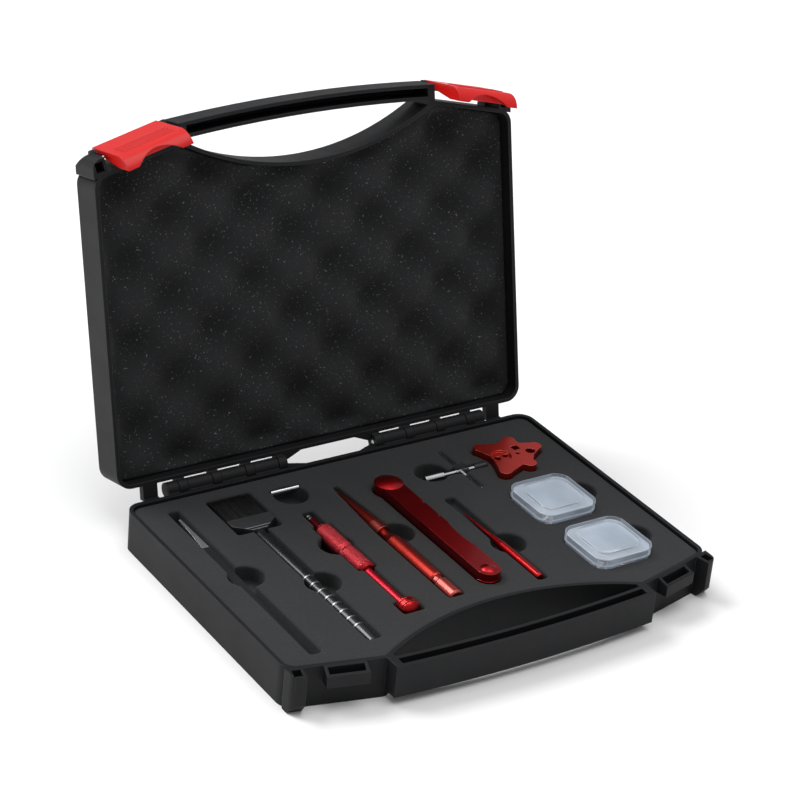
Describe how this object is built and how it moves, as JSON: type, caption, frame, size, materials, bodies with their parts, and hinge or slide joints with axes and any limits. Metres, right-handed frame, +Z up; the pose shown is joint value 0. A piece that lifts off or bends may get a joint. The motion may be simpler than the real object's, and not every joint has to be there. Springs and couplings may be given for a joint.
{
  "type": "maintenance tool kit case",
  "caption": "Hinged plastic carry case with a split handle and two swing latches, holding small maintenance tools and clear boxes in a cut foam tray.",
  "frame": {"origin": "middle of the underside of the base, on the surface it stands on", "axes": "+X along the width to the right, +Y back towards the hinge, +Z up"},
  "size_m": [0.24, 0.2426, 0.1999],
  "materials": {
    "case_plastic": "fine textured moulded finish",
    "tray_foam": "closed-cell foam, matte",
    "lid_foam": "open-cell foam, matte",
    "latch_plastic": "semi-gloss moulded",
    "steel_pin": "drawn wire",
    "coated_steel": "dark coating, tips ground bare",
    "bristle": "bundled filament",
    "ferrule_metal": "dark pressed sheet",
    "brush_handle": "moulded",
    "band_paint": "silver rings",
    "red_anodised": "anodised, polished",
    "rose_anodised": "anodised, bright turned",
    "bright_steel": "polished",
    "knob_plastic": "moulded",
    "clear_plastic": "clear moulded",
    "white_plastic": "moulded",
    "brass": "turned"
  },
  "bodies": {
    "base": {"base_shell": "case_plastic", "hinge_pins": "steel_pin", "tray_foam": "tray_foam"},
    "lid": {"lid_shell": "case_plastic", "lid_foam": "lid_foam", "latch_pins": "steel_pin"},
    "left_latch": {"latch_left": "latch_plastic"},
    "right_latch": {"latch_right": "latch_plastic"},
    "tweezers": {"tweezers_lower_arm": "coated_steel", "tweezers_heel_block": "coated_steel"},
    "tweezers_arm": {"tweezers_upper_arm": "coated_steel"},
    "brush": {"brush_bristles": "bristle", "brush_ferrule": "ferrule_metal", "brush_handle": "brush_handle", "brush_bands": "band_paint"},
    "driver": {"driver_tip": "steel_pin", "driver_grip": "red_anodised", "driver_shaft": "red_anodised"},
    "driver_cap": {"driver_swivel_cap": "red_anodised"},
    "pen_tool": {"pen_nose": "red_anodised", "pen_collar": "rose_anodised", "pen_barrel": "red_anodised", "pen_band": "rose_anodised", "pen_end_cap": "rose_anodised"},
    "wrench": {"wrench_bar": "red_anodised", "wrench_drum": "red_anodised", "wrench_end_pad": "red_anodised"},
    "pick": {"pick_handle": "red_anodised", "pick_point": "red_anodised"},
    "pin_press": {"press_spindle": "bright_steel", "press_sleeve": "bright_steel", "press_block": "bright_steel", "press_knob": "knob_plastic", "press_tommy_bar": "bright_steel"},
    "star_tool": {"star_wrench": "red_anodised"},
    "loose_pin": {"short_steel_pin": "bright_steel"},
    "rear_box": {"rear_box_base": "clear_plastic", "rear_box_cap": "white_plastic"},
    "rear_box_cover": {"rear_box_lid": "clear_plastic"},
    "front_box": {"front_box_base": "clear_plastic", "front_box_steel_bits": "bright_steel", "front_box_brass_bits": "brass"},
    "front_box_cover": {"front_box_lid": "clear_plastic"}
  },
  "joints": [
    {"name": "lid_hinge", "type": "hinge", "parent": "base", "child": "lid", "pos_m": [0, 0.0827, 0.0215], "axis": [-1, 0, 0], "range_deg": [-103.5, 0]},
    {"name": "left_latch_hinge", "type": "hinge", "parent": "lid", "child": "left_latch", "pos_m": [-0.09432, 0.13586, 0.18722], "axis": [-0.9724, -0.0545, -0.227], "range_deg": [0, 110]},
    {"name": "right_latch_hinge", "type": "hinge", "parent": "lid", "child": "right_latch", "pos_m": [0.09432, 0.13586, 0.18722], "axis": [-0.9724, 0.0545, 0.227], "range_deg": [0, 110]},
    {"name": "tweezers_lift_out", "type": "slide", "parent": "base", "child": "tweezers", "axis": [0, 0, 1], "range_m": [0, 0.04]},
    {"name": "brush_lift_out", "type": "slide", "parent": "base", "child": "brush", "axis": [0, 0, 1], "range_m": [0, 0.04]},
    {"name": "driver_lift_out", "type": "slide", "parent": "base", "child": "driver", "axis": [0, 0, 1], "range_m": [0, 0.04]},
    {"name": "pen_tool_lift_out", "type": "slide", "parent": "base", "child": "pen_tool", "axis": [0, 0, 1], "range_m": [0, 0.04]},
    {"name": "wrench_lift_out", "type": "slide", "parent": "base", "child": "wrench", "axis": [0, 0, 1], "range_m": [0, 0.04]},
    {"name": "pick_lift_out", "type": "slide", "parent": "base", "child": "pick", "axis": [0, 0, 1], "range_m": [0, 0.04]},
    {"name": "pin_press_lift_out", "type": "slide", "parent": "base", "child": "pin_press", "axis": [0, 0, 1], "range_m": [0, 0.04]},
    {"name": "star_tool_lift_out", "type": "slide", "parent": "base", "child": "star_tool", "axis": [0, 0, 1], "range_m": [0, 0.04]},
    {"name": "loose_pin_lift_out", "type": "slide", "parent": "base", "child": "loose_pin", "axis": [0, 0, 1], "range_m": [0, 0.04]},
    {"name": "rear_box_lift_out", "type": "slide", "parent": "base", "child": "rear_box", "axis": [0, 0, 1], "range_m": [0, 0.04]},
    {"name": "front_box_lift_out", "type": "slide", "parent": "base", "child": "front_box", "axis": [0, 0, 1], "range_m": [0, 0.04]},
    {"name": "tweezers_squeeze", "type": "hinge", "parent": "tweezers", "child": "tweezers_arm", "pos_m": [-0.0995, -0.0605, 0.01254], "axis": [1, 0, 0], "range_deg": [-3.4, 0], "stiffness_Nm_per_rad": 2},
    {"name": "driver_cap_spin", "type": "hinge", "parent": "driver", "child": "driver_cap", "pos_m": [-0.0395, -0.055, 0.0176], "axis": [0, 1, 0], "continuous": true},
    {"name": "rear_box_hinge", "type": "hinge", "parent": "rear_box", "child": "rear_box_cover", "pos_m": [0.0788, 0.0127, 0.0206], "axis": [-1, 0, 0], "range_deg": [0, 95]},
    {"name": "front_box_hinge", "type": "hinge", "parent": "front_box", "child": "front_box_cover", "pos_m": [0.0788, -0.0336, 0.0206], "axis": [-1, 0, 0], "range_deg": [0, 95]}
  ]
}
